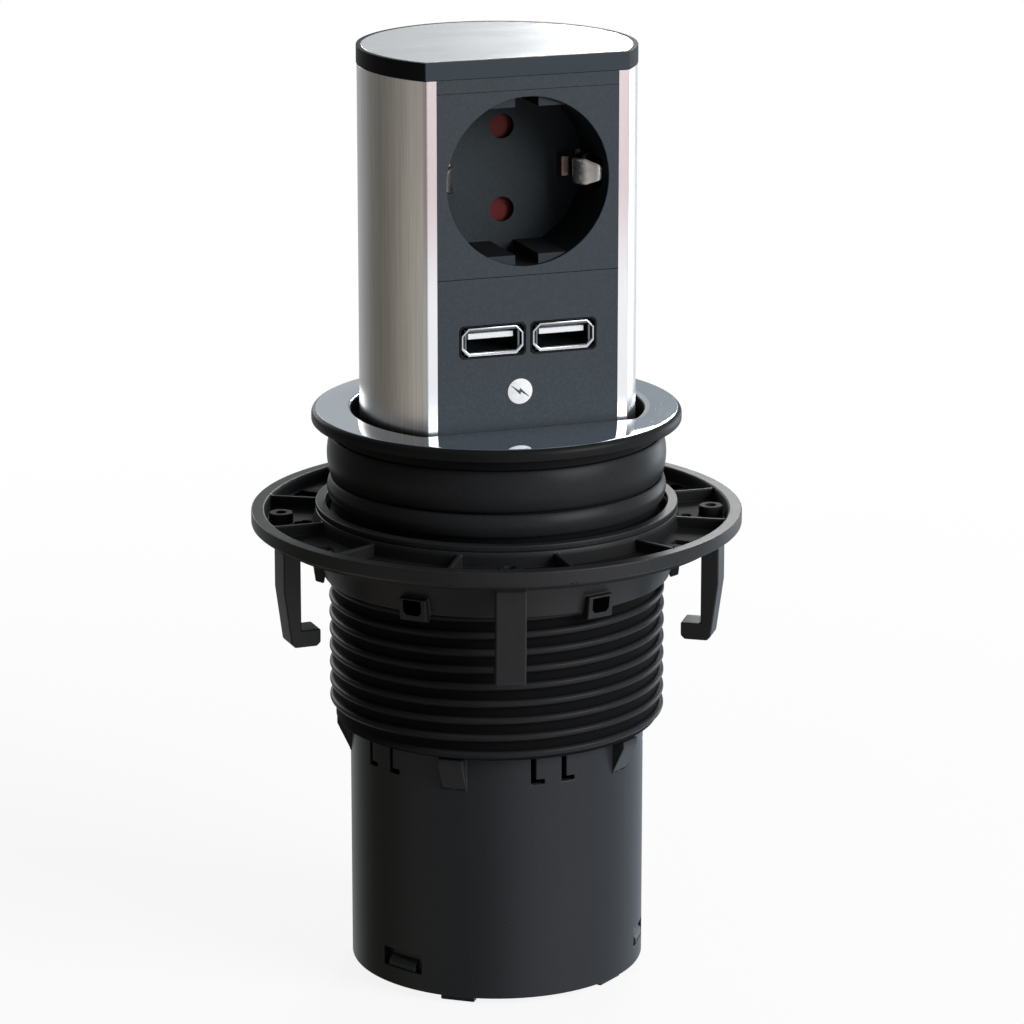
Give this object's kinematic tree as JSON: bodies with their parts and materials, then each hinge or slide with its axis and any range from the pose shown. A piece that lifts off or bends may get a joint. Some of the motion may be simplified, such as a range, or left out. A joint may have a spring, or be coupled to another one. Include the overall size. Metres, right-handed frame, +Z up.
{
  "type": "pop-up desk socket",
  "caption": "Pop-up desk socket: a sliding tower with a plug recess and charging ports rises from a round bezel on a threaded collar, held under the worktop by a hooked clamp ring.",
  "frame": {"origin": "on the collar's axis, at the level that the stand feet rest on", "axes": "+Z up along the tower's travel, -Y out of the tower's flat face with the plug recess, +X to the right when facing that face"},
  "size_m": [0.1128, 0.1128, 0.2169],
  "materials": {
    "gloss_black": "polished black moulding",
    "satin_black": "satin black moulding",
    "ring_black": "satin black glass-filled moulding",
    "tube_black": "fine satin dark grey moulding",
    "seal_rubber": "matt black seal",
    "felt": "pressed felt",
    "spring_steel": "bright spring strip",
    "bright_metal": "fine brushed anodised plate",
    "brushed_shell": "satin anodised, brushed along its length",
    "face_grey": "slate grey satin moulding",
    "base_plastic": "natural heat-proof moulding",
    "contact_brass": "bright stamped brass",
    "shutter_red": "dull red moulding",
    "trim_black": "semi-gloss black moulding",
    "port_steel": "nickel-plated sheet",
    "tongue_white": "white moulding",
    "board_green": "lacquered circuit board"
  },
  "bodies": {
    "housing": {"bezel_ring": "gloss_black", "bezel_gasket": "seal_rubber", "threaded_collar": "satin_black", "guide_sleeve": "satin_black", "brake_pads": "felt", "brake_springs": "spring_steel", "housing_tube": "tube_black", "bottom_cap": "tube_black"},
    "tower": {"top_cap": "satin_black", "top_plate": "bright_metal", "aluminium_shell": "brushed_shell", "face_filler": "face_grey", "socket_faceplate": "face_grey", "socket_base": "base_plastic", "earth_strap": "spring_steel", "line_contacts": "contact_brass", "shutter_springs": "spring_steel", "charger_faceplate": "face_grey", "port_trims": "trim_black", "port_shells": "port_steel", "port_tongues": "tongue_white", "charger_board": "board_green", "charger_transformer": "base_plastic", "charger_capacitor": "bright_metal", "blank_plate": "face_grey", "inner_carrier": "base_plastic", "terminal_block": "base_plastic", "terminal_block_screws": "port_steel", "tower_foot": "tube_black", "cord_clamp": "base_plastic"},
    "shutter": {"pin_shutter": "shutter_red"},
    "washer": {"slip_washer": "ring_black"},
    "ring": {"clamp_ring": "ring_black"}
  },
  "joints": [
    {"name": "tower_slide", "type": "slide", "parent": "housing", "child": "tower", "axis": [0, 0, 1], "range_m": [-0.0835, 0]},
    {"name": "shutter_slide", "type": "slide", "parent": "tower", "child": "shutter", "axis": [0, 0, 1], "range_m": [-0.0062, 0], "stiffness_N_per_m": 80, "springref_m": 0.002, "deforming": ["shutter_springs"]},
    {"name": "clamp_ring_travel", "type": "slide", "parent": "housing", "child": "washer", "axis": [0, 0, 1], "range_m": [-0.0321, 0.0121]},
    {"name": "clamp_ring_turn", "type": "hinge", "parent": "washer", "child": "ring", "pos_m": [0, 0, 0.1], "axis": [0, 0, 1], "range_deg": [-2880, 1080]}
  ],
  "couplings": [
    {"joint": "clamp_ring_travel", "follows": "clamp_ring_turn", "m_per_rad": 0.00063662}
  ]
}
